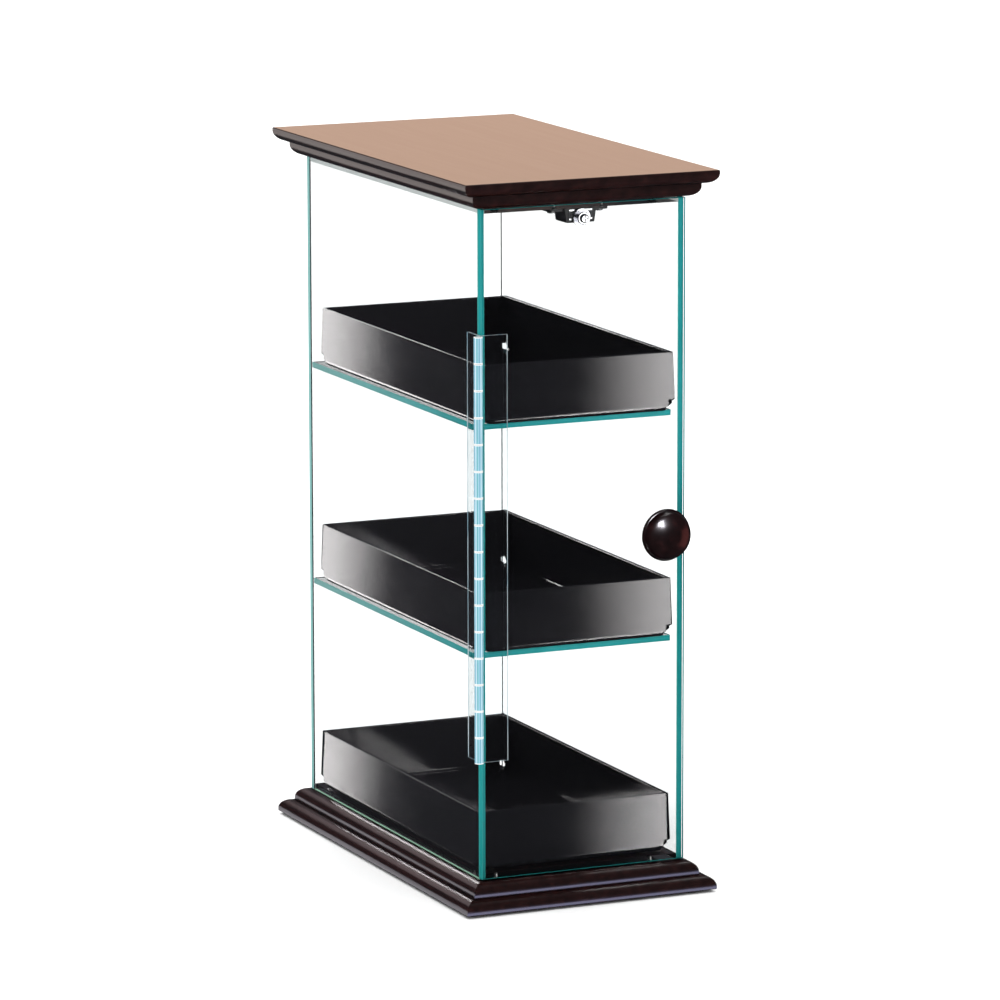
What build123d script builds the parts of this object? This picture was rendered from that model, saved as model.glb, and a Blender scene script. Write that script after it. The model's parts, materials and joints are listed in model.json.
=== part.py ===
from build123d import *
import math
import os

# Countertop bakery display case, millimetres.
# Origin: centre of the wooden base's footprint, on the plane that the rubber feet stand on.
# +Z up, the door faces -Y, the door hinge is on the -X side.

# ---- driving dimensions ----
board_width = 200.0
board_depth = 365.0
board_thickness = 20.0
foot_height = 2.0
foot_radius = 6.0
foot_inset = 16.0
foot_edge_round = 0.8

acrylic = 4.5
case_offset_x = 1.0        # the glued-up case stands this far right of the boards' centre
case_width = 162.0
case_depth = 326.0
case_height = 492.0
front_gap = 0.3            # between the closed door and the case edges behind it

lower_shelf_rise = 166.4   # from the case's bottom edge to the shelf's upper face
upper_shelf_rise = 333.9
shelf_setback = 16.0       # from the door's front face to the shelf's front edge

# stepped edge moulding of the two boards: a lower and an upper tier, each with a quarter round
tier_height = 10.0
tier_round_width = 8.9
tier_round_height = 7.8
tier_ledge = 1.0
edge_softening = 0.5

# ---- derived places ----
board_bottom = foot_height
case_bottom = board_bottom + board_thickness
case_top = case_bottom + case_height
overall_height = case_top + board_thickness
side_x = case_width / 2
front_y = -case_depth / 2
back_y = case_depth / 2
inner_x = side_x - acrylic
door_back_y = front_y + acrylic
case_front_y = door_back_y + front_gap
inner_back_y = back_y - acrylic
floor_top = case_bottom + acrylic
ceiling_bottom = case_top - acrylic
lower_shelf_top = case_bottom + lower_shelf_rise
upper_shelf_top = case_bottom + upper_shelf_rise

# ---- door ----
door_end_gap = 1.0         # above and below the door
door_hinge_gap = 0.3       # beside the hinge leaf that is glued to the case
door_bottom = case_bottom + door_end_gap
door_top = case_top - door_end_gap
door_edge_bevel = 0.4

# ---- clear knuckle hinge, wrapped round the front left corner ----
knuckle_count = 16
knuckle_pitch = 19.5
knuckle_gap = 0.3
barrel_radius = 3.3
pin_radius = 1.2
pin_running_gap = 0.06
leaf_width = 23.5          # from the pin's axis to the leaf's free edge
leaf_thickness = 1.8
leaf_setback = 3.7         # from the pin's axis, beside the other leaf's knuckles
hinge_rise = 88.5
hinge_bottom = case_bottom + hinge_rise
hinge_length = knuckle_count * knuckle_pitch
pin_x = -side_x - barrel_radius
pin_y = front_y - barrel_radius
pin_end_inset = 0.5

# ---- turned wooden knob ----
knob_x = 60.0
knob_rise = 246.8          # from the case's bottom edge to the knob's axis
knob_z = case_bottom + knob_rise
knob_projection = 25.5
knob_foot_radius = 9.5
knob_foot_bevel = 0.6
knob_foot_length = 1.4
knob_neck_radius = 7.6
knob_neck_reach = 4.5
knob_rim_radius = 19.2
knob_rim_back = 11.0
knob_rim_front = 14.6
knob_rim_round = 1.2       # how far the rim stands out past the dome's and the neck's ends
insert_radius = 3.2
insert_length = 10.0
knob_screw_radius = 2.0
knob_screw_hole = 2.4
knob_washer_radius = 5.0
knob_washer_thickness = 0.8
knob_screw_head_radius = 3.9
knob_screw_head_height = 2.6
knob_screw_head_round = 1.2
knob_screw_recess = 1.5
knob_screw_reach = 9.0     # from the door's front face into the insert
insert_shoulder = 0.3      # how far the insert sits below the knob's foot

# ---- magnetic catch under the ceiling, and the steel disc on the door that it holds ----
catch_gap = 0.3
strike_thickness = 2.0
strike_bevel = 0.5
strike_radius = 6.6
strike_drop = 7.2          # from the ceiling panel to the disc's centre
strike_z = ceiling_bottom - strike_drop
strike_screw_radius = 1.5
strike_screw_hole = 1.8
strike_washer_radius = 4.9
strike_washer_thickness = 0.9
strike_head_radius = 3.3
strike_head_height = 1.8
strike_washer_bevel = 0.6
strike_head_round = 1.1
strike_screw_short = 0.3   # the screw ends this far inside the disc's face
pole_front_y = door_back_y + strike_thickness + catch_gap
pole_proud = 0.5
pole_width = 18.0
pole_length = 14.0
pole_thickness = 1.0
magnet_height = 5.4
pole_stack_cover = 1.3     # plastic above the upper pole plate
pole_stack_top = ceiling_bottom - pole_stack_cover
catch_front_y = pole_front_y + pole_proud
catch_width = 25.0
catch_depth = 19.0
catch_height = 11.0
catch_flare = 1.6
catch_body_round = 1.0
ear_span = 47.7
ear_depth = 13.0
ear_thickness = 2.6
ear_corner_round = 3.0
catch_screw_spacing = 37.6
catch_screw_radius = 1.5
catch_screw_reach = 12.0
catch_head_radius = 3.0
catch_head_height = 1.7
catch_head_round = 1.0

# ---- countersunk wood screws that hold the floor and the ceiling to the boards ----
wood_screw_x = 62.0
wood_screw_y = 135.0
wood_screw_radius = 1.6
wood_screw_reach = 15.0
countersink_radius = 3.6
countersink_depth = 2.2

# ---- driver recesses and running clearance shared by every screw ----
recess_length_share = 1.3  # of the head's radius
recess_width_share = 0.28
wood_screw_recess = 1.4
small_screw_recess = 1.0
screw_clearance = 0.2

# ---- folded trays ----
tray_wall = 3.0
tray_half_width = 75.6
tray_half_length = 150.0
tray_height = 43.5
tray_bend_radius = 4.5
tray_wall_lean = 1.2       # how far each wall leans in at its rim
tray_rim_round = 0.45
tray_corner_gap = 0.5      # the open mitre between two walls
tray_relief_height = 9.0   # the cut-away at the foot of each corner
tray_relief_side = 13.0
tray_relief_end = 8.0
tray_floor_corner = 4.0
tray_lift = 0.2
tray_front_y = {"upper_tray": -156.2, "middle_tray": -153.0, "lower_tray": -150.2}
tray_shelf_z = {"upper_tray": upper_shelf_top, "middle_tray": lower_shelf_top, "lower_tray": floor_top}
cut_margin = 1.0           # how far a cutting tool reaches past the surface it cuts


def place_in_case(shape):
    """Moves a part, or every piece of a group, from the case's own centre to its place on the boards."""
    shift = Pos(case_offset_x, 0, 0)
    if shape.children:
        return Compound(children=[shift * piece for piece in shape.children])
    return shift * shape


def block(x_low, x_high, y_low, y_high, z_low, z_high):
    """A box given by its two corners."""
    centre = ((x_low + x_high) / 2, (y_low + y_high) / 2, (z_low + z_high) / 2)
    return Pos(*centre) * Box(x_high - x_low, y_high - y_low, z_high - z_low)


def rod_z(x, y, z_low, z_high, radius):
    """A round bar along Z."""
    return Pos(x, y, (z_low + z_high) / 2) * Cylinder(radius, z_high - z_low)


def rod_y(x, z, y_low, y_high, radius):
    """A round bar along Y."""
    return Pos(x, (y_low + y_high) / 2, z) * Rot(90, 0, 0) * Cylinder(radius, y_high - y_low)


# ---- wooden boards ----

def moulding_outline(half_width):
    """The board's cross-section, wide tier at the bottom, as a face in the XY plane (Y is height)."""
    first_in = half_width - tier_round_width - tier_ledge
    face_height = tier_height - tier_round_height
    right_side = [
        Line((0, 0), (half_width - edge_softening, 0)),
        Line((half_width - edge_softening, 0), (half_width, edge_softening)),
        Line((half_width, edge_softening), (half_width, face_height)),
        EllipticalCenterArc((half_width - tier_round_width, face_height), tier_round_width,
                            tier_round_height, start_angle=0, arc_size=90),
        Line((half_width - tier_round_width, tier_height), (first_in, tier_height)),
        Line((first_in, tier_height), (first_in, tier_height + face_height)),
        EllipticalCenterArc((first_in - tier_round_width, tier_height + face_height), tier_round_width,
                            tier_round_height, start_angle=0, arc_size=90),
        Line((first_in - tier_round_width, board_thickness), (0, board_thickness)),
        Line((0, board_thickness), (0, 0)),
    ]
    half = make_face(right_side)
    return half + mirror(half, about=Plane.YZ)


def moulded_board():
    """A board with the stepped moulding on all four edges, wide tier down, underside at z = 0."""
    across = extrude(Plane.XZ * moulding_outline(board_width / 2), amount=board_depth / 2, both=True)
    along = extrude(Plane.YZ * moulding_outline(board_depth / 2), amount=board_width / 2, both=True)
    return across & along


def make_base_board():
    board = Pos(0, 0, board_bottom) * moulded_board()
    for x, y in screw_places():
        board -= rod_z(x + case_offset_x, y, floor_top - wood_screw_reach, case_bottom, wood_screw_radius)
    return board


def make_top_board():
    board = Pos(0, 0, overall_height) * Rot(180, 0, 0) * moulded_board()
    for x, y in screw_places():
        board -= rod_z(x + case_offset_x, y, case_top, ceiling_bottom + wood_screw_reach, wood_screw_radius)
    for x in catch_screw_places():
        board -= rod_z(x + case_offset_x, catch_screw_y(), case_top, ceiling_bottom + catch_screw_reach,
                       catch_screw_radius)
    return board


def make_rubber_feet():
    x = board_width / 2 - foot_inset
    y = board_depth / 2 - foot_inset
    foot = Pos(0, 0, foot_height / 2) * Cylinder(foot_radius, foot_height)
    foot = fillet(foot.edges().group_by(Axis.Z)[0], foot_edge_round)
    return Compound(children=[Pos(sx * x, sy * y, 0) * foot for sx in (-1, 1) for sy in (-1, 1)])


# ---- acrylic case ----

def screw_places():
    return [(sx * wood_screw_x, sy * wood_screw_y) for sx in (-1, 1) for sy in (-1, 1)]


def wood_screw(x, y, head_z, direction):
    """A countersunk screw: its head is flush at head_z, and it points along direction (+1 up, -1 down)."""
    cone = Pos(0, 0, countersink_depth / 2) * Cone(countersink_radius, wood_screw_radius, countersink_depth)
    shank = rod_z(0, 0, countersink_depth, wood_screw_reach, wood_screw_radius)
    tilt = Rot(0, 0, 0) if direction > 0 else Rot(180, 0, 0)
    return Pos(x, y, head_z) * tilt * (cone + shank)


def cross_recess(radius, depth):
    """A plus-shaped driver recess, centred at the origin and sunk towards +Z."""
    arm = Box(radius * recess_length_share, radius * recess_width_share, depth,
              align=(Align.CENTER, Align.CENTER, Align.MIN))
    return arm + Rot(0, 0, 90) * arm


def make_floor_panel():
    panel = block(-inner_x, inner_x, case_front_y, inner_back_y, case_bottom, floor_top)
    for x, y in screw_places():
        panel -= wood_screw(x, y, floor_top, -1)
    return panel


def make_ceiling_panel():
    panel = block(-inner_x, inner_x, case_front_y, inner_back_y, ceiling_bottom, case_top)
    for x, y in screw_places():
        panel -= wood_screw(x, y, ceiling_bottom, 1)
    for x in catch_screw_places():
        panel -= rod_z(x, catch_screw_y(), ceiling_bottom, case_top, catch_screw_radius)
    return panel


def make_floor_screws():
    screws = []
    for x, y in screw_places():
        recess = Pos(x, y, floor_top) * Rot(180, 0, 0) * cross_recess(countersink_radius, wood_screw_recess)
        screws.append(wood_screw(x, y, floor_top, -1) - recess)
    return Compound(children=screws)


def make_ceiling_screws():
    screws = []
    for x, y in screw_places():
        recess = Pos(x, y, ceiling_bottom) * cross_recess(countersink_radius, wood_screw_recess)
        screws.append(wood_screw(x, y, ceiling_bottom, 1) - recess)
    return Compound(children=screws)


def make_side_panel(side):
    x_outer = side * side_x
    x_inner = side * inner_x
    return block(min(x_outer, x_inner), max(x_outer, x_inner), case_front_y, inner_back_y,
                 case_bottom, case_top)


def make_back_panel():
    return block(-side_x, side_x, inner_back_y, back_y, case_bottom, case_top)


def make_shelf(top_z):
    shelf = block(-inner_x, inner_x, front_y + shelf_setback, inner_back_y, top_z - acrylic, top_z)
    front_edges = shelf.edges().filter_by(Axis.X).sort_by(Axis.Y)[:2]
    return chamfer(front_edges, door_edge_bevel)


# ---- door ----

def make_door_panel():
    door = block(-side_x + door_hinge_gap, side_x, front_y, door_back_y, door_bottom, door_top)
    door = chamfer(door.faces().sort_by(Axis.Y)[0].edges(), door_edge_bevel)
    door -= rod_y(knob_x, knob_z, front_y, door_back_y, knob_screw_hole)
    door -= rod_y(0, strike_z, front_y, door_back_y, strike_screw_hole)
    return door


def knuckle_span(index):
    low = hinge_bottom + index * knuckle_pitch + knuckle_gap / 2
    return low, low + knuckle_pitch - knuckle_gap


def make_hinge_leaf(own_rows, bore_radius):
    """One leaf in the pin's own frame: the plate runs along +X, its inner face at y = barrel radius."""
    inner_face = barrel_radius
    outer_face = barrel_radius - leaf_thickness
    leaf = block(leaf_setback, leaf_width, outer_face, inner_face,
                 hinge_bottom, hinge_bottom + hinge_length)
    for row in own_rows:
        low, high = knuckle_span(row)
        leaf += block(0, leaf_setback, outer_face, inner_face, low, high)
        leaf += rod_z(0, 0, low, high, barrel_radius)
    for row in own_rows:
        low, high = knuckle_span(row)
        leaf -= rod_z(0, 0, low - knuckle_gap, high + knuckle_gap, bore_radius)
    return leaf


def make_hinge_door_leaf():
    rows = range(0, knuckle_count, 2)
    return Pos(pin_x, pin_y, 0) * make_hinge_leaf(rows, pin_radius + pin_running_gap)


def make_hinge_case_leaf():
    rows = range(1, knuckle_count, 2)
    leaf = mirror(make_hinge_leaf(rows, pin_radius), about=Plane.XZ)
    return Pos(pin_x, pin_y, 0) * Rot(0, 0, 90) * leaf


def make_hinge_pin():
    return rod_z(pin_x, pin_y, hinge_bottom + pin_end_inset,
                 hinge_bottom + hinge_length - pin_end_inset, pin_radius)


# ---- knob ----

def knob_outline():
    """Half of the knob's section: X is the radius, Y the distance out from the door."""
    rim_middle = (knob_rim_back + knob_rim_front) / 2
    foot = [
        Line((0, 0), (knob_foot_radius - knob_foot_bevel, 0)),
        Line((knob_foot_radius - knob_foot_bevel, 0), (knob_foot_radius, knob_foot_bevel)),
        Line((knob_foot_radius, knob_foot_bevel), (knob_foot_radius, knob_foot_length)),
    ]
    rim_start = knob_rim_radius - knob_rim_round
    neck = Spline((knob_foot_radius, knob_foot_length), (knob_neck_radius, knob_neck_reach),
                  (rim_start, knob_rim_back), tangents=[(-1, 0.7), (1, 0.28)])
    rim = ThreePointArc((rim_start, knob_rim_back), (knob_rim_radius, rim_middle),
                        (rim_start, knob_rim_front))
    dome_rise = knob_projection - knob_rim_front
    halfway = math.sqrt(0.5)
    dome = Spline((rim_start, knob_rim_front),
                  (rim_start * halfway, knob_rim_front + dome_rise * halfway),
                  (0, knob_projection), tangents=[(0, 1), (-1, 0)])
    axis = Line((0, knob_projection), (0, 0))
    return make_face([*foot, neck, rim, dome, axis])


def make_door_knob():
    knob = revolve(knob_outline(), axis=Axis.Y)
    placed = Pos(knob_x, front_y, knob_z) * Rot(0, 0, 180) * knob
    return placed - rod_y(knob_x, knob_z, front_y - insert_length, front_y, insert_radius)


def make_knob_insert():
    insert = rod_y(knob_x, knob_z, front_y - insert_length, front_y - insert_shoulder, insert_radius)
    return insert - rod_y(knob_x, knob_z, front_y - insert_length, front_y, knob_screw_radius)


def make_knob_washer():
    back = door_back_y + knob_washer_thickness
    washer = rod_y(knob_x, knob_z, door_back_y, back, knob_washer_radius)
    return washer - rod_y(knob_x, knob_z, door_back_y, back, knob_screw_radius + screw_clearance)


def make_knob_screw():
    head_base = door_back_y + knob_washer_thickness
    head_face = head_base + knob_screw_head_height
    head = rod_y(knob_x, knob_z, head_base, head_face, knob_screw_head_radius)
    head = fillet(head.edges().sort_by(Axis.Y)[-1:], knob_screw_head_round)
    shank = rod_y(knob_x, knob_z, front_y - knob_screw_reach, head_base, knob_screw_radius)
    recess = cross_recess(knob_screw_head_radius, knob_screw_recess)
    recess = Pos(knob_x, head_face, knob_z) * Rot(90, 0, 0) * recess
    return head + shank - recess


# ---- magnetic catch ----

def catch_screw_y():
    return catch_front_y + catch_depth / 2


def catch_screw_places():
    return (-catch_screw_spacing / 2, catch_screw_spacing / 2)


def make_catch_housing():
    body_outline = Polyline((-catch_width / 2, ceiling_bottom), (catch_width / 2, ceiling_bottom),
                            (catch_width / 2 - catch_flare, ceiling_bottom - catch_height),
                            (-catch_width / 2 + catch_flare, ceiling_bottom - catch_height), close=True)
    body = extrude(Plane.XZ * make_face(body_outline), amount=catch_depth)
    body = Pos(0, catch_front_y + catch_depth, 0) * body
    body = fillet(body.edges().group_by(Axis.Z)[0], catch_body_round)
    ear_y = catch_screw_y()
    ears = block(-ear_span / 2, ear_span / 2, ear_y - ear_depth / 2, ear_y + ear_depth / 2,
                 ceiling_bottom - ear_thickness, ceiling_bottom)
    ears = fillet(ears.edges().filter_by(Axis.Z), ear_corner_round)
    housing = body + ears
    stack_height = magnet_height + 2 * pole_thickness
    housing -= block(-pole_width / 2, pole_width / 2, catch_front_y, pole_front_y + pole_length,
                     pole_stack_top - stack_height, pole_stack_top)
    hole_radius = catch_screw_radius + screw_clearance
    for x in catch_screw_places():
        housing -= rod_z(x, ear_y, ceiling_bottom - ear_thickness, ceiling_bottom, hole_radius)
    return housing


def make_catch_magnet():
    top = pole_stack_top - pole_thickness
    return block(-pole_width / 2, pole_width / 2, catch_front_y, pole_front_y + pole_length,
                 top - magnet_height, top)


def make_catch_pole_plates():
    plates = []
    for top in (pole_stack_top, pole_stack_top - pole_thickness - magnet_height):
        plates.append(block(-pole_width / 2, pole_width / 2, pole_front_y, pole_front_y + pole_length,
                            top - pole_thickness, top))
    return Compound(children=plates)


def make_catch_screws():
    screws = []
    head_top = ceiling_bottom - ear_thickness
    for x in catch_screw_places():
        head = rod_z(x, catch_screw_y(), head_top - catch_head_height, head_top, catch_head_radius)
        head = fillet(head.edges().group_by(Axis.Z)[0], catch_head_round)
        shank = rod_z(x, catch_screw_y(), head_top, ceiling_bottom + catch_screw_reach, catch_screw_radius)
        recess = cross_recess(catch_head_radius, small_screw_recess)
        recess = Pos(x, catch_screw_y(), head_top - catch_head_height) * recess
        screws.append(head + shank - recess)
    return Compound(children=screws)


def make_strike_disc():
    back = door_back_y + strike_thickness
    disc = rod_y(0, strike_z, door_back_y, back, strike_radius)
    disc = chamfer(disc.edges().sort_by(Axis.Y)[-1:], strike_bevel)
    return disc - rod_y(0, strike_z, door_back_y, back, strike_screw_radius)


def make_strike_washer():
    face = front_y - strike_washer_thickness
    washer = rod_y(0, strike_z, face, front_y, strike_washer_radius)
    washer = chamfer(washer.edges().sort_by(Axis.Y)[:1], strike_washer_bevel)
    return washer - rod_y(0, strike_z, face, front_y, strike_screw_radius + screw_clearance)


def make_strike_screw():
    head_base = front_y - strike_washer_thickness
    head_face = head_base - strike_head_height
    head = rod_y(0, strike_z, head_face, head_base, strike_head_radius)
    head = fillet(head.edges().sort_by(Axis.Y)[:1], strike_head_round)
    tip = door_back_y + strike_thickness - strike_screw_short
    shank = rod_y(0, strike_z, head_base, tip, strike_screw_radius)
    recess = cross_recess(strike_head_radius, small_screw_recess)
    recess = Pos(0, head_face, strike_z) * Rot(-90, 0, 0) * recess
    return head + shank - recess


# ---- trays ----

def tray_outside(half_span):
    """Section of the tray's outside: upright walls leaning in, rounded folds and rounded rims."""
    bend = tray_bend_radius
    rim = half_span - tray_wall_lean
    rounding = tray_rim_round
    right_side = [
        Line((0, 0), (half_span - bend, 0)),
        RadiusArc((half_span - bend, 0), (half_span, bend), -bend),
        Line((half_span, bend), (rim, tray_height - rounding)),
        RadiusArc((rim, tray_height - rounding), (rim - rounding, tray_height), -rounding),
        Line((rim - rounding, tray_height), (0, tray_height)),
        Line((0, tray_height), (0, 0)),
    ]
    half = make_face(right_side)
    return half + mirror(half, about=Plane.YZ)


def tray_inside(half_span):
    """Section of the space inside the tray, opening out a little at the rounded rim."""
    bend = tray_bend_radius
    foot = half_span - tray_wall
    rim = foot - tray_wall_lean
    rounding = tray_rim_round
    above = tray_height + cut_margin
    right_side = [
        Line((0, tray_wall), (half_span - bend, tray_wall)),
        RadiusArc((half_span - bend, tray_wall), (foot, bend), tray_wall - bend),
        Line((foot, bend), (rim, tray_height - rounding)),
        RadiusArc((rim, tray_height - rounding), (rim + rounding, tray_height), rounding),
        Line((rim + rounding, tray_height), (rim + rounding, above)),
        Line((rim + rounding, above), (0, above)),
        Line((0, above), (0, tray_wall)),
    ]
    half = make_face(right_side)
    return half + mirror(half, about=Plane.YZ)


def crossed_prisms(section):
    """The space common to the section swept along Y and the same section swept along X."""
    across = extrude(Plane.XZ * section(tray_half_width), amount=tray_half_length, both=True)
    along = extrude(Plane.YZ * section(tray_half_length), amount=tray_half_width, both=True)
    return across & along


def tray_corner_cut():
    """What is cut away at the +X +Y corner: the open mitre, the foot of both walls and the floor's tip."""
    x = tray_half_width
    y = tray_half_length
    depth = tray_bend_radius + cut_margin
    side_foot = Polyline((y - tray_relief_side, 0), (y + cut_margin, 0), (y + cut_margin, tray_relief_height),
                         (y, tray_relief_height), close=True)
    end_foot = Polyline((x - tray_relief_end, 0), (x + cut_margin, 0), (x + cut_margin, tray_relief_height),
                        (x, tray_relief_height), close=True)
    side_cut = Pos(x - depth, 0, 0) * extrude(Plane.YZ * make_face(side_foot), amount=depth + cut_margin)
    end_cut = Pos(0, y + cut_margin, 0) * extrude(Plane.XZ * make_face(end_foot), amount=depth + cut_margin)
    leg = tray_bend_radius + tray_floor_corner
    floor_tip = Polyline((x - leg, y), (x + cut_margin, y - leg - cut_margin),
                         (x + cut_margin, y + cut_margin), (x - leg, y + cut_margin), close=True)
    floor_cut = extrude(make_face(floor_tip), amount=tray_wall + tray_rim_round)
    mitre_length = 4 * tray_wall
    mitre = Box(mitre_length, tray_corner_gap, tray_height, align=(Align.CENTER, Align.CENTER, Align.MIN))
    mitre = Pos(x - tray_wall_lean, y - tray_wall_lean, tray_wall + tray_rim_round) * Rot(0, 0, 45) * mitre
    return side_cut + end_cut + floor_cut + mitre


def make_tray(name):
    tray = crossed_prisms(tray_outside) - crossed_prisms(tray_inside)
    corner = tray_corner_cut()
    other_corner = mirror(corner, about=Plane.YZ)
    for cut in (corner, other_corner):
        tray -= cut
        tray -= mirror(cut, about=Plane.XZ)
    centre_y = tray_front_y[name] + tray_half_length
    return Pos(0, centre_y, tray_shelf_z[name] + tray_lift) * tray


board_parts = {
    "rubber_feet": make_rubber_feet(),
    "base_board": make_base_board(),
    "top_board": make_top_board(),
}
case_parts = {
    "floor_panel": make_floor_panel(),
    "ceiling_panel": make_ceiling_panel(),
    "left_side_panel": make_side_panel(-1),
    "right_side_panel": make_side_panel(1),
    "back_panel": make_back_panel(),
    "lower_shelf": make_shelf(lower_shelf_top),
    "upper_shelf": make_shelf(upper_shelf_top),
    "floor_screws": make_floor_screws(),
    "ceiling_screws": make_ceiling_screws(),
    "door_panel": make_door_panel(),
    "hinge_case_leaf": make_hinge_case_leaf(),
    "hinge_door_leaf": make_hinge_door_leaf(),
    "hinge_pin": make_hinge_pin(),
    "door_knob": make_door_knob(),
    "knob_insert": make_knob_insert(),
    "knob_washer": make_knob_washer(),
    "knob_screw": make_knob_screw(),
    "catch_housing": make_catch_housing(),
    "catch_magnet": make_catch_magnet(),
    "catch_pole_plates": make_catch_pole_plates(),
    "catch_screws": make_catch_screws(),
    "strike_disc": make_strike_disc(),
    "strike_washer": make_strike_washer(),
    "strike_screw": make_strike_screw(),
    "upper_tray": make_tray("upper_tray"),
    "middle_tray": make_tray("middle_tray"),
    "lower_tray": make_tray("lower_tray"),
}

os.makedirs("parts", exist_ok=True)
for node, shape in board_parts.items():
    export_step(shape, f"parts/{node}.step")
for node, shape in case_parts.items():
    export_step(place_in_case(shape), f"parts/{node}.step")
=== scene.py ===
import json
import math

import bmesh
import bpy
from mathutils import Matrix, Vector


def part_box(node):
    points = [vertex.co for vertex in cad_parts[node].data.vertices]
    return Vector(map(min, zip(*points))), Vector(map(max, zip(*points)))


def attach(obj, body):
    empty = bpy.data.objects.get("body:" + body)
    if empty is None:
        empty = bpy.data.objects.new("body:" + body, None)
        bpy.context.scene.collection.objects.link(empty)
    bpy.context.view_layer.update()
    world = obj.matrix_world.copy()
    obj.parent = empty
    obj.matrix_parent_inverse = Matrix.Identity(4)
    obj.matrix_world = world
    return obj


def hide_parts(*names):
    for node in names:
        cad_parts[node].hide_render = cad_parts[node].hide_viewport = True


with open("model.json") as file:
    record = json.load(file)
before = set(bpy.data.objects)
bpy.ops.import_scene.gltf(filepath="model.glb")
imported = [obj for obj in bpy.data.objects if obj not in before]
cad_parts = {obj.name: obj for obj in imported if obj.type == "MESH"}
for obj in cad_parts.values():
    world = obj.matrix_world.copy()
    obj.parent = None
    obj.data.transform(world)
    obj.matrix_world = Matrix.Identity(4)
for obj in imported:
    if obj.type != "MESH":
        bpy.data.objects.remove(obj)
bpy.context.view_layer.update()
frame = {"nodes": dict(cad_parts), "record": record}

nodes = frame["nodes"]

MM = 0.001

# ---- camera: front left of the case, looking slightly down ----
CAMERA_PLACE = Vector((-1.8595, -4.2061, 1.1259))
CAMERA_AZIMUTH = math.radians(-23.933)
CAMERA_PITCH = math.radians(10.549)
CAMERA_ROLL = math.radians(-0.116)
CAMERA_LENS = 225.65      # on a sensor 36 mm wide
SENSOR_WIDTH = 36.0

# ---- studio ----
WORLD_WHITE = (1.45, 1.45, 1.46)
WORLD_SOFT = (0.95, 0.95, 0.95)
WORLD_DARK = (0.03, 0.03, 0.035)
FLOOR_RADIUS = 30.0       # metres

# ---- places of the materials on a sheet or a hinge leaf ----
FACE_SLOT = 0
EDGE_SLOT = 1
GLINT_SLOT = 2
BOND_SLOT = 3
BARREL_SLOT = 2

# ---- acrylic sheets ----
GLUE_GAP = 0.04 * MM      # a hair of air round every glued sheet keeps touching faces apart
SHEET_ARRIS = 0.35 * MM
DOOR_ARRIS = 0.4 * MM
FLAT = 0.99               # how squarely a normal must face an axis to count as one of the large faces
DRILLED_SHEETS = ("floor_panel", "ceiling_panel", "door_panel")
GLINTING_SHEETS = ("left_side_panel", "right_side_panel")
GLINT_ARRIS = 0.6 * MM
EDGE_REACH = 2 * DOOR_ARRIS     # how far from a side a face's middle may be and still belong to it
WELD_DISTANCE = 0.001 * MM
PALE_SIDED_SHEETS = ("ceiling_panel",)     # its bonded sides are painted pale for the light they pass on, not clear
ARRIS_SLANT = 0.3         # the least share of each axis in the normal of an eased rim
COLOURED_SIDES = {        # the ends that are open to the air, so that they show the sheet's colour and its painted gathered light
    "floor_panel": (),
    "ceiling_panel": (),
    "left_side_panel": ("-y",),
    "right_side_panel": ("-y",),
    "back_panel": ("-x", "+x"),
    "lower_shelf": ("-x", "+x", "-y"),
    "upper_shelf": ("-x", "+x", "-y"),
    "door_panel": ("-x", "+x", "-z", "+z"),
}
SHEET_BODIES = {
    "floor_panel": "case",
    "ceiling_panel": "case",
    "left_side_panel": "case",
    "right_side_panel": "case",
    "back_panel": "case",
    "lower_shelf": "case",
    "upper_shelf": "case",
    "door_panel": "door",
}

# ---- clear hinge ----
HINGE_LEAF_BODIES = {"hinge_case_leaf": "case", "hinge_door_leaf": "door"}
KNUCKLE_PITCH = 19.5 * MM
BARREL_RADIUS = 3.3 * MM
BARREL_SLACK = 1.01       # a face belongs to the barrel within this share of its radius
BARREL_SKIN = 0.9         # beyond this share of the radius it is on the round outside
STREAK_REPEATS = 5.0      # the painted streaks are alike all the way round the barrel
# Painted pale blue and white streaks that stand for the light the clear knuckles refract and reflect.
PAINTED_BARREL_STREAKS = [(0.0, (0.30, 0.54, 0.68)), (0.18, (0.16, 0.40, 0.55)), (0.34, (0.46, 0.70, 0.80)),
                  (0.44, (0.78, 0.92, 0.96)), (0.54, (0.34, 0.60, 0.72)), (0.72, (0.10, 0.40, 0.46)),
                  (0.88, (0.42, 0.70, 0.78)), (1.0, (0.30, 0.54, 0.68))]


# ---- node trees ----

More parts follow.
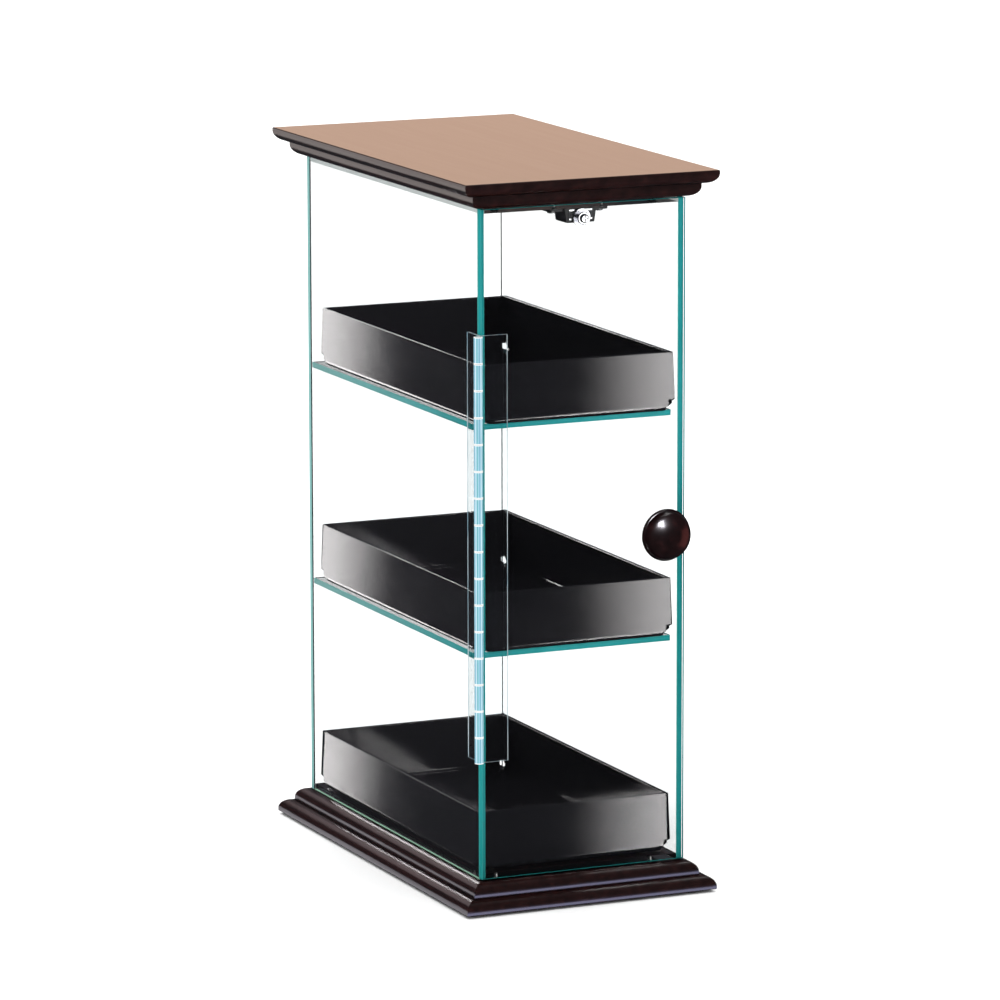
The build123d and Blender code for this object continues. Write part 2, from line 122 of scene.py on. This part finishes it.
class Tree:
    """Short calls that build one material's nodes."""

    def __init__(self, name):
        self.material = bpy.data.materials.new(name)
        self.material.use_nodes = True
        self.nodes = self.material.node_tree.nodes
        self.links = self.material.node_tree.links
        self.nodes.clear()
        self.output = self.add("OutputMaterial")

    def add(self, kind, inputs=None, **settings):
        """A shader node of this kind. An input takes a number, a colour or another node's socket."""
        node = self.nodes.new("ShaderNode" + kind)
        for key, value in settings.items():
            setattr(node, key, value)
        for key, value in (inputs or {}).items():
            self.feed(node.inputs[key], value)
        return node

    def feed(self, socket, value):
        if isinstance(value, bpy.types.NodeSocket):
            self.links.new(value, socket)
        elif socket.type == "RGBA" and len(value) == 3:
            socket.default_value = (*value, 1.0)
        else:
            socket.default_value = value

    def noise(self, vector, scale, detail=3.0, roughness=0.5):
        return self.add("TexNoise", {"Vector": vector, "Scale": scale, "Detail": detail,
                                     "Roughness": roughness}).outputs["Fac"]

    def stretched(self, scale):
        """Object coordinates in metres, scaled along each axis."""
        place = self.add("TexCoord").outputs["Object"]
        return self.add("Mapping", {"Vector": place, "Scale": scale}).outputs["Vector"]

    def remap(self, value, low, high, from_low=0.0, from_high=1.0):
        return self.add("MapRange", {"Value": value, "From Min": from_low, "From Max": from_high,
                                     "To Min": low, "To Max": high}).outputs["Result"]

    def ramp(self, value, stops):
        """A colour ramp through (position, colour) stops."""
        node = self.add("ValToRGB", {"Fac": value})
        elements = node.color_ramp.elements
        while len(elements) < len(stops):
            elements.new(1.0)
        for element, (position, colour) in zip(elements, stops):
            element.position = position
            element.color = (*colour, 1.0)
        return node.outputs["Color"]

    def mix_colour(self, share, first, second, blend="MIX"):
        node = self.add("Mix", data_type="RGBA", blend_type=blend)
        self.feed(node.inputs[0], share)
        self.feed(node.inputs[6], first)
        self.feed(node.inputs[7], second)
        return node.outputs[2]

    def math(self, operation, first, second):
        node = self.add("Math", operation=operation)
        self.feed(node.inputs[0], first)
        self.feed(node.inputs[1], second)
        return node.outputs[0]

    def bump(self, height, strength, distance):
        return self.add("Bump", {"Height": height, "Strength": strength,
                                 "Distance": distance}).outputs["Normal"]

    def surface(self, inputs):
        shader = self.add("BsdfPrincipled", inputs)
        self.links.new(shader.outputs[0], self.output.inputs["Surface"])
        return self.material


def see_through(tree, inputs):
    """A clear shader that lets lamp light, scattered light and mirrored light straight through."""
    glass = tree.add("BsdfPrincipled", inputs).outputs[0]
    clear = tree.add("BsdfTransparent").outputs[0]
    path = tree.add("LightPath")
    straight = tree.math("MAXIMUM", path.outputs["Is Shadow Ray"], path.outputs["Is Diffuse Ray"])
    straight = tree.math("MAXIMUM", straight, tree.math("MINIMUM", path.outputs["Glossy Depth"], 1.0))
    mixed = tree.add("MixShader", {0: straight, 1: glass, 2: clear})
    tree.links.new(mixed.outputs[0], tree.output.inputs["Surface"])
    return tree.material


# ---- materials ----

def make_acrylic_face():
    """The polished faces of the clear sheets, with the faint waviness of cast sheet."""
    tree = Tree("clear_acrylic_face")
    waves = tree.noise(tree.stretched((1, 1, 1)), 14.0, 1.0)
    normal = tree.bump(waves, 0.05, 0.2 * MM)
    return see_through(tree, {"Base Color": (0.985, 0.998, 0.996), "Roughness": 0.0, "IOR": 1.49,
                              "Transmission Weight": 1.0, "Normal": normal})


def make_acrylic_edge():
    """The polished edges, in the sheet's own green-blue tint, with painted light for what the sheet
    gathers: bands across the thickness, darker towards the bottom and paler towards the back.
    """
    tree = Tree("acrylic_edge")
    across = tree.add("SeparateXYZ", {0: tree.add("UVMap", uv_map="UVMap").outputs[0]}).outputs[0]
    core = tree.ramp(across, [(0.0, (0.05, 0.38, 0.36)), (0.2, (0.006, 0.27, 0.27)),
                              (0.5, (0.02, 0.36, 0.38)), (0.8, (0.006, 0.27, 0.27)),
                              (1.0, (0.05, 0.38, 0.36))])
    drift = tree.noise(tree.stretched((9, 9, 9)), 1.0, 2.0)
    colour = tree.mix_colour(tree.remap(drift, 0.0, 0.6, 0.35, 0.7), core, (0.05, 0.46, 0.49))
    place = tree.add("SeparateXYZ", {0: tree.add("TexCoord").outputs["Object"]}).outputs
    # painted shade: the edges darken towards the bottom
    low_painted_shade = tree.remap(place[2], 0.5, 0.0, 0.03, 0.4)
    colour = tree.mix_colour(low_painted_shade, colour, (0.003, 0.22, 0.2))
    # painted light: the edges turn paler towards the back
    back_painted_light = tree.remap(place[1], 0.0, 1.0, -0.15, 0.16)
    colour = tree.mix_colour(back_painted_light, colour, (0.26, 0.52, 0.50))
    marks = tree.noise(tree.stretched((900, 900, 900)), 1.0, 2.0)
    return tree.surface({"Base Color": colour, "Roughness": tree.remap(marks, 0.1, 0.22),
                         "IOR": 1.49})


def make_acrylic_glint():
    """The eased lower rim of a side panel, with a painted light-green glow for the light gathered by
    the sheet that comes out there.
    """
    tree = Tree("acrylic_glint")
    drift = tree.noise(tree.stretched((20, 20, 20)), 1.0, 2.0)
    colour = tree.mix_colour(drift, (0.45, 0.9, 0.62), (0.62, 0.98, 0.76))
    return tree.surface({"Base Color": colour, "Roughness": 0.3, "IOR": 1.49})


def make_acrylic_bond():
    """The bonded sides of the ceiling sheet, painted near-white for the white light it gathers from
    above and passes on.
    """
    tree = Tree("acrylic_bond")
    drift = tree.noise(tree.stretched((30, 30, 30)), 1.0, 2.0)
    colour = tree.mix_colour(drift, (0.80, 0.86, 0.85), (0.90, 0.94, 0.93))
    return tree.surface({"Base Color": colour, "Roughness": 0.3, "IOR": 1.49})


def make_hinge_leaf_face():
    """The clear flat leaves of the hinge, with faint moulding ripples."""
    tree = Tree("hinge_leaf_face")
    ripple = tree.noise(tree.stretched((60, 60, 400)), 1.0, 1.0)
    return see_through(tree, {"Base Color": (0.93, 0.975, 0.99), "Roughness": 0.02, "IOR": 1.49,
                              "Transmission Weight": 1.0, "Normal": tree.bump(ripple, 0.1, 0.1 * MM)})


def make_hinge_leaf_edge():
    """The leaf's cut edges, with painted pale highlights that show as fine lines."""
    tree = Tree("hinge_leaf_edge")
    drift = tree.noise(tree.stretched((300, 300, 30)), 1.0, 2.0)
    colour = tree.ramp(drift, [(0.35, (0.30, 0.46, 0.55)), (0.6, (0.85, 0.92, 0.95))])
    return tree.surface({"Base Color": colour, "Roughness": 0.25, "IOR": 1.49})


def make_hinge_barrel():
    """The solid clear knuckles, painted pale blue with white streaks all round for the light they
    refract and reflect, and with painted highlights at the knuckle ends.
    """
    tree = Tree("hinge_barrel")
    place = tree.add("SeparateXYZ", {0: tree.add("TexCoord").outputs["Object"]}).outputs
    pin_low, pin_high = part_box("hinge_pin")
    pin = (pin_low + pin_high) / 2
    out_x = tree.math("SUBTRACT", place[0], pin.x)
    out_y = tree.math("SUBTRACT", place[1], pin.y)
    turn = tree.remap(tree.math("ARCTAN2", out_y, out_x), 0.0, STREAK_REPEATS, -math.pi, math.pi)
    streaks = tree.ramp(tree.math("FRACT", turn, 0.0), PAINTED_BARREL_STREAKS)
    wander = tree.noise(tree.stretched((500, 500, 25)), 1.0, 2.0)
    colour = tree.mix_colour(tree.remap(wander, 0.0, 0.3, 0.45, 0.7), streaks, (0.16, 0.36, 0.48))
    rise = tree.math("SUBTRACT", place[2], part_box("hinge_case_leaf")[0][2])
    knuckle = tree.math("FRACT", tree.math("DIVIDE", rise, KNUCKLE_PITCH), 0.0)
    to_end = tree.math("MINIMUM", knuckle, tree.math("SUBTRACT", 1.0, knuckle))
    # Painted highlights at both ends of each knuckle.
    painted_end_highlight = tree.remap(to_end, 1.0, 0.0, 0.035, 0.045)
    colour = tree.mix_colour(painted_end_highlight, colour, (1.0, 1.0, 1.0))
    return tree.surface({"Base Color": colour, "Roughness": 0.08, "IOR": 1.49})


def make_black_acrylic():
    """High gloss black sheet, faintly smeared by handling."""
    tree = Tree("black_acrylic")
    smear = tree.noise(tree.stretched((12, 12, 30)), 1.0, 4.0)
    colour = tree.mix_colour(smear, (0.003, 0.003, 0.004), (0.006, 0.006, 0.007))
    return tree.surface({"Base Color": colour, "Roughness": tree.remap(smear, 0.04, 0.12), "IOR": 1.5})


def make_wood(name, dark, middle, light):
    """Espresso stained hardwood with grain along Y, under glossy lacquer."""
    tree = Tree(name)
    bands = tree.noise(tree.stretched((160, 7, 160)), 1.0, 5.0, 0.6)
    pores = tree.noise(tree.stretched((900, 30, 900)), 1.0, 2.0)
    colour = tree.ramp(bands, [(0.3, dark), (0.55, middle), (0.75, light)])
    height = tree.mix_colour(0.5, bands, pores)
    return tree.surface({"Base Color": colour, "Roughness": tree.remap(bands, 0.26, 0.32),
                         "IOR": 1.5, "Coat Weight": 0.8, "Coat Roughness": 0.14,
                         "Normal": tree.bump(height, 0.008, 0.03 * MM)})


def make_metal(name, colour, low, high, scale):
    """A plated or machined metal with fine turning or rolling marks."""
    tree = Tree(name)
    marks = tree.noise(tree.stretched(scale), 1.0, 3.0)
    return tree.surface({"Base Color": colour, "Metallic": 1.0,
                         "Roughness": tree.remap(marks, low, high),
                         "Normal": tree.bump(marks, 0.08, 0.02 * MM)})


def make_plastic(name, colour, roughness, grain):
    """A moulded plastic or rubber with a fine grained surface."""
    tree = Tree(name)
    speckle = tree.noise(tree.stretched((grain, grain, grain)), 1.0, 2.0)
    return tree.surface({"Base Color": colour, "Roughness": tree.remap(speckle, roughness - 0.06,
                                                                      roughness + 0.06),
                         "Normal": tree.bump(speckle, 0.2, 0.03 * MM)})


# ---- acrylic sheets ----

def new_piece(name, mesh, body):
    """A visual piece that moves with this body."""
    piece = bpy.data.objects.new(name, mesh)
    bpy.context.scene.collection.objects.link(piece)
    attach(piece, body)
    return piece


def bevelled_box(low, high, arris):
    """A closed box as a bmesh, with its edges eased by arris."""
    shape = bmesh.new()
    bmesh.ops.create_cube(shape, size=1.0)
    centre = (low + high) / 2
    size = high - low
    bmesh.ops.transform(shape, matrix=Matrix.Translation(centre) @ Matrix.Diagonal((*size, 1.0)),
                        verts=shape.verts)
    bmesh.ops.bevel(shape, geom=list(shape.edges), offset=arris, segments=2, profile=0.5,
                    affect="EDGES")
    return shape


def add_edge_uv(shape, low, high, thin):
    """UV on the edges: u runs across the sheet's thickness and v along the edge, in metres."""
    layer = shape.loops.layers.uv.new("UVMap")
    for face in shape.faces:
        for loop in face.loops:
            place = loop.vert.co
            across = (place[thin] - low[thin]) / (high[thin] - low[thin])
            along = sum(place) - place[thin]
            loop[layer].uv = (across, along)


def cad_shape(name, low, high):
    """The CAD node's own mesh, holes included, as a bmesh kept between low and high."""
    shape = bmesh.new()
    shape.from_mesh(nodes[name].data)
    bmesh.ops.transform(shape, matrix=nodes[name].matrix_world, verts=shape.verts)
    bmesh.ops.remove_doubles(shape, verts=shape.verts, dist=WELD_DISTANCE)
    for vert in shape.verts:
        vert.co = [min(max(vert.co[axis], low[axis]), high[axis]) for axis in range(3)]
    return shape


def is_coloured(face, low, high, thin, coloured_sides):
    """True for a face on one of the sheet's coloured ends. Hole walls and bonded ends stay clear."""
    if abs(face.normal[thin]) > FLAT:
        return False
    centre = face.calc_center_median()
    for side in coloured_sides:
        axis = "xyz".index(side[1])
        gap = high[axis] - centre[axis] if side[0] == "+" else centre[axis] - low[axis]
        if gap < EDGE_REACH:
            return True
    return False


def make_sheet(name, body, coloured_sides, materials):
    """One clear sheet: polished clear faces and open edges in the sheet's colour with painted gathered
    light.
    """
    low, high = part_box(name)
    low = low + Vector((GLUE_GAP,) * 3)
    high = high - Vector((GLUE_GAP,) * 3)
    size = high - low
    thin = min(range(3), key=lambda axis: size[axis])
    if name in DRILLED_SHEETS:
        shape = cad_shape(name, low, high)
    else:
        shape = bevelled_box(low, high, GLINT_ARRIS if name in GLINTING_SHEETS else SHEET_ARRIS)
    shape.normal_update()
    for face in shape.faces:
        coloured = is_coloured(face, low, high, thin, coloured_sides)
        face.material_index = EDGE_SLOT if coloured else FACE_SLOT
        # The eased lower rims of the side panels take the painted light-green glow.
        slants_down = face.normal.z < -ARRIS_SLANT and abs(face.normal.x) > ARRIS_SLANT
        if name in GLINTING_SHEETS and slants_down:
            face.material_index = GLINT_SLOT
        # The bonded sides of the ceiling sheet take the painted pale light.
        if name in PALE_SIDED_SHEETS and abs(face.normal.x) > FLAT:
            face.material_index = BOND_SLOT
        face.smooth = False
    add_edge_uv(shape, low, high, thin)
    mesh = bpy.data.meshes.new(name + "_sheet")
    shape.to_mesh(mesh)
    shape.free()
    for material in materials:
        mesh.materials.append(material)
    piece = new_piece(name + "_sheet", mesh, body)
    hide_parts(name)
    return piece


# ---- hinge ----

def make_hinge_piece(name, body, materials):
    """A hinge leaf with its CAD shape: clear flat faces, cut edges with painted pale highlights and
    knuckles with painted streaks.
    """
    low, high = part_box(name)
    shape = cad_shape(name, low, high)
    shape.normal_update()
    pin_low, pin_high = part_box("hinge_pin")
    pin = (pin_low + pin_high) / 2
    flat_axis = 1 if name == "hinge_door_leaf" else 0
    for face in shape.faces:
        centre = face.calc_center_median()
        from_pin = math.hypot(centre.x - pin.x, centre.y - pin.y)
        if from_pin < BARREL_RADIUS * BARREL_SLACK:
            face.material_index = BARREL_SLOT
            face.smooth = abs(face.normal.z) < FLAT and from_pin > BARREL_RADIUS * BARREL_SKIN
        else:
            face.material_index = FACE_SLOT if abs(face.normal[flat_axis]) > FLAT else EDGE_SLOT
    mesh = bpy.data.meshes.new(name + "_look")
    shape.to_mesh(mesh)
    shape.free()
    for material in materials:
        mesh.materials.append(material)
    piece = new_piece(name + "_look", mesh, body)
    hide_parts(name)
    return piece


# ---- stage ----

def make_floor():
    """A pale floor. It drops out of reflections, which show the dark studio instead."""
    bpy.ops.mesh.primitive_circle_add(vertices=96, radius=FLOOR_RADIUS, fill_type="NGON")
    floor = bpy.context.object
    floor.name = "floor"
    tree = Tree("pale_floor")
    cloud = tree.noise(tree.stretched((0.8, 0.8, 0.8)), 1.0, 2.0)
    colour = tree.mix_colour(cloud, (0.9, 0.9, 0.9), (0.92, 0.92, 0.92))
    pale = tree.add("BsdfDiffuse", {"Color": colour}).outputs[0]
    gone = tree.add("BsdfTransparent").outputs[0]
    reflected = tree.math("GREATER_THAN", tree.add("LightPath").outputs["Glossy Depth"], 0.5)
    mixed = tree.add("MixShader", {0: reflected, 1: pale, 2: gone})
    tree.links.new(mixed.outputs[0], tree.output.inputs["Surface"])
    floor.data.materials.append(tree.material)
    return floor


def make_world():
    """White surroundings to the eye and through the acrylic, a dark studio in the reflections."""
    world = bpy.data.worlds.new("studio")
    world.use_nodes = True
    world.cycles.sampling_method = "NONE"
    tree = world.node_tree
    background = tree.nodes["Background"]
    path = tree.nodes.new("ShaderNodeLightPath")
    mix = tree.nodes.new("ShaderNodeMix")
    mix.data_type = "RGBA"
    tree.links.new(path.outputs["Glossy Depth"], mix.inputs[0])
    soft = tree.nodes.new("ShaderNodeMix")
    soft.data_type = "RGBA"
    tree.links.new(path.outputs["Is Diffuse Ray"], soft.inputs[0])
    soft.inputs[6].default_value = (*WORLD_WHITE, 1.0)
    soft.inputs[7].default_value = (*WORLD_SOFT, 1.0)
    tree.links.new(soft.outputs[2], mix.inputs[6])
    mix.inputs[7].default_value = (*WORLD_DARK, 1.0)
    tree.links.new(mix.outputs[2], background.inputs["Color"])
    bpy.context.scene.world = world


def add_softbox(name, place, target, size, radiance, colour=(1.0, 1.0, 1.0), receivers=None,
                fade=(0.0, 0.001), through_glass=False, up="Y"):
    """A rectangular light facing target. Its brightness climbs from 0 to full between the fade
    shares of its width, and it lights only the receivers when some are named. With up set to X its
    width stands upright, so that the fade runs up it."""
    data = bpy.data.lights.new(name, "AREA")
    data.shape = "RECTANGLE"
    data.size, data.size_y = size
    data.energy = radiance * size[0] * size[1] * math.pi
    data.color = colour
    data.use_nodes = True
    tree = data.node_tree
    emission = tree.nodes["Emission"]
    across = tree.nodes.new("ShaderNodeSeparateXYZ")
    tree.links.new(tree.nodes.new("ShaderNodeNewGeometry").outputs["Parametric"], across.inputs[0])
    climb = tree.nodes.new("ShaderNodeMapRange")
    climb.interpolation_type = "SMOOTHSTEP"
    climb.inputs["From Min"].default_value = fade[0]
    climb.inputs["From Max"].default_value = fade[1]
    tree.links.new(across.outputs[0], climb.inputs["Value"])
    tree.links.new(climb.outputs["Result"], emission.inputs["Strength"])
    light = bpy.data.objects.new(name, data)
    light.location = place
    light.rotation_mode = "QUATERNION"
    light.rotation_quaternion = (Vector(target) - Vector(place)).to_track_quat("-Z", up)
    light.visible_camera = False
    light.visible_transmission = through_glass
    bpy.context.scene.collection.objects.link(light)
    if receivers:
        group = bpy.data.collections.new(name + "_receivers")
        for piece in receivers:
            group.objects.link(piece)
        light.light_linking.receiver_collection = group
    return light


def make_camera():
    """The camera, placed by its azimuth, pitch and roll, looking slightly down at the case."""
    back = Vector((math.sin(CAMERA_AZIMUTH) * math.cos(CAMERA_PITCH),
                   -math.cos(CAMERA_AZIMUTH) * math.cos(CAMERA_PITCH), math.sin(CAMERA_PITCH)))
    right = Vector((math.cos(CAMERA_AZIMUTH), math.sin(CAMERA_AZIMUTH), 0.0))
    up = back.cross(right)
    rolled_right = math.cos(CAMERA_ROLL) * right + math.sin(CAMERA_ROLL) * up
    rolled_up = math.cos(CAMERA_ROLL) * up - math.sin(CAMERA_ROLL) * right
    data = bpy.data.cameras.new("camera")
    data.lens = CAMERA_LENS
    data.sensor_width = SENSOR_WIDTH
    camera = bpy.data.objects.new("camera", data)
    camera.matrix_world = Matrix((rolled_right, rolled_up, back)).transposed().to_4x4()
    camera.location = CAMERA_PLACE
    bpy.context.scene.collection.objects.link(camera)
    bpy.context.scene.camera = camera


# ---- build ----

make_camera()
floor = make_floor()
make_world()

scene = bpy.context.scene
scene.view_settings.view_transform = "Standard"
scene.cycles.max_bounces = 24
scene.cycles.transmission_bounces = 24
scene.cycles.glossy_bounces = 12
scene.cycles.transparent_max_bounces = 32

sheet_materials = (make_acrylic_face(), make_acrylic_edge(), make_acrylic_glint(), make_acrylic_bond())
for node, body in SHEET_BODIES.items():
    make_sheet(node, body, COLOURED_SIDES[node], sheet_materials)

hinge_materials = (make_hinge_leaf_face(), make_hinge_leaf_edge(), make_hinge_barrel())
for node, body in HINGE_LEAF_BODIES.items():
    make_hinge_piece(node, body, hinge_materials)

slot_materials = {
    "wood": make_wood("espresso_wood", (0.010, 0.0022, 0.0020), (0.020, 0.0045, 0.0040),
                      (0.034, 0.0080, 0.0070)),
    "hinge_acrylic": hinge_materials[2],
    "black_acrylic": make_black_acrylic(),
    "black_plastic": make_plastic("black_plastic", (0.012, 0.012, 0.013), 0.4, 3000),
    "rubber": make_plastic("rubber", (0.02, 0.02, 0.02), 0.7, 2000),
    "bright_steel": make_metal("bright_steel", (0.82, 0.82, 0.84), 0.08, 0.2, (900, 900, 900)),
    "zinc_steel": make_metal("zinc_steel", (0.62, 0.62, 0.6), 0.25, 0.4, (600, 600, 600)),
    "brass": make_metal("brass", (0.75, 0.55, 0.25), 0.2, 0.3, (900, 900, 900)),
    "magnet": make_plastic("magnet", (0.07, 0.07, 0.075), 0.6, 2500),
}
knob_wood = make_wood("turned_wood", (0.003, 0.0006, 0.0006), (0.007, 0.0013, 0.0013),
                      (0.016, 0.003, 0.003))
for row in frame["record"]["subparts"]:
    slot = row.get("material_slot")
    if slot in slot_materials:
        node_slots = nodes[row["node"]].material_slots
        for index in range(len(node_slots)):
            node_slots[index].material = slot_materials[slot]

trays = [nodes[name] for name in ("upper_tray", "middle_tray", "lower_tray")]
metals = [nodes[name] for name in ("strike_disc", "strike_washer", "strike_screw", "catch_pole_plates",
                                   "catch_housing", "catch_screws", "knob_screw", "knob_washer",
                                   "floor_screws", "ceiling_screws")]
knob = nodes["door_knob"]
knob.material_slots[0].material = knob_wood
base_board = nodes["base_board"]
top_board = nodes["top_board"]

add_softbox("overhead", (0.2, 0.4, 2.4), (0.0, 0.0, 0.3), (1.6, 1.6), 2.0)
add_softbox("floor_wash", (0.5, 2.0, 3.5), (0.5, 2.0, 0.0), (8.0, 8.0), 1.3, receivers=[floor])
add_softbox("tray_sides", (-0.40, 0.62, 0.16), (-0.08, 0.0, 0.22), (0.5, 0.9), 7.0, receivers=trays,
            colour=(1.0, 0.96, 0.96), fade=(0.395, 0.25), through_glass=True)
add_softbox("tray_fronts", (0.27, -0.62, 0.12), (0.05, -0.15, 0.2), (0.3, 0.9), 12.0, receivers=trays,
            colour=(1.0, 0.96, 0.96), fade=(0.31, 0.64), through_glass=True)
add_softbox("tray_rims", (-0.2, 1.0, 0.85), (0.0, 0.0, 0.2), (0.7, 0.3), 12.0, receivers=trays,
            through_glass=True)
add_softbox("top_sheen", (0.95, 2.2, 0.98), (0.0, 0.0, 0.53), (1.6, 1.2), 0.91,
            colour=(1.0, 0.66, 0.48), receivers=[top_board])
add_softbox("base_front", (0.45, -1.1, -0.2), (0.0, -0.18, 0.01), (0.9, 1.2), 4.6,
            colour=(0.62, 0.64, 1.0), receivers=[base_board], fade=(0.85, 0.3), up="X")
add_softbox("base_left", (-0.55, 1.1, -0.25), (-0.1, 0.0, 0.01), (0.5, 0.45), 0.95,
            colour=(0.95, 0.92, 1.0), receivers=[base_board])
add_softbox("base_ledges", (0.1, 1.3, 0.75), (0.0, 0.0, 0.02), (1.4, 0.35), 0.55,
            colour=(1.0, 0.8, 0.82), receivers=[base_board])
add_softbox("top_left", (-0.55, 1.1, 0.3), (-0.1, 0.0, 0.52), (0.5, 0.55), 0.75,
            colour=(1.0, 0.90, 0.86), receivers=[top_board])
add_softbox("knob_key", (-0.16, -0.99, 0.88), (0.06, -0.18, 0.27), (0.38, 0.38), 26.0,
            colour=(0.95, 0.92, 1.0), receivers=[knob])
add_softbox("knob_glow", (0.7, -0.4, 0.1), (0.06, -0.18, 0.27), (0.4, 0.5), 0.5,
            colour=(1.0, 0.25, 0.22), receivers=[knob])
add_softbox("metal_key", (0.6, -1.4, 0.2), (0.0, -0.16, 0.5), (1.4, 0.5), 2.6, receivers=metals,
            through_glass=True)
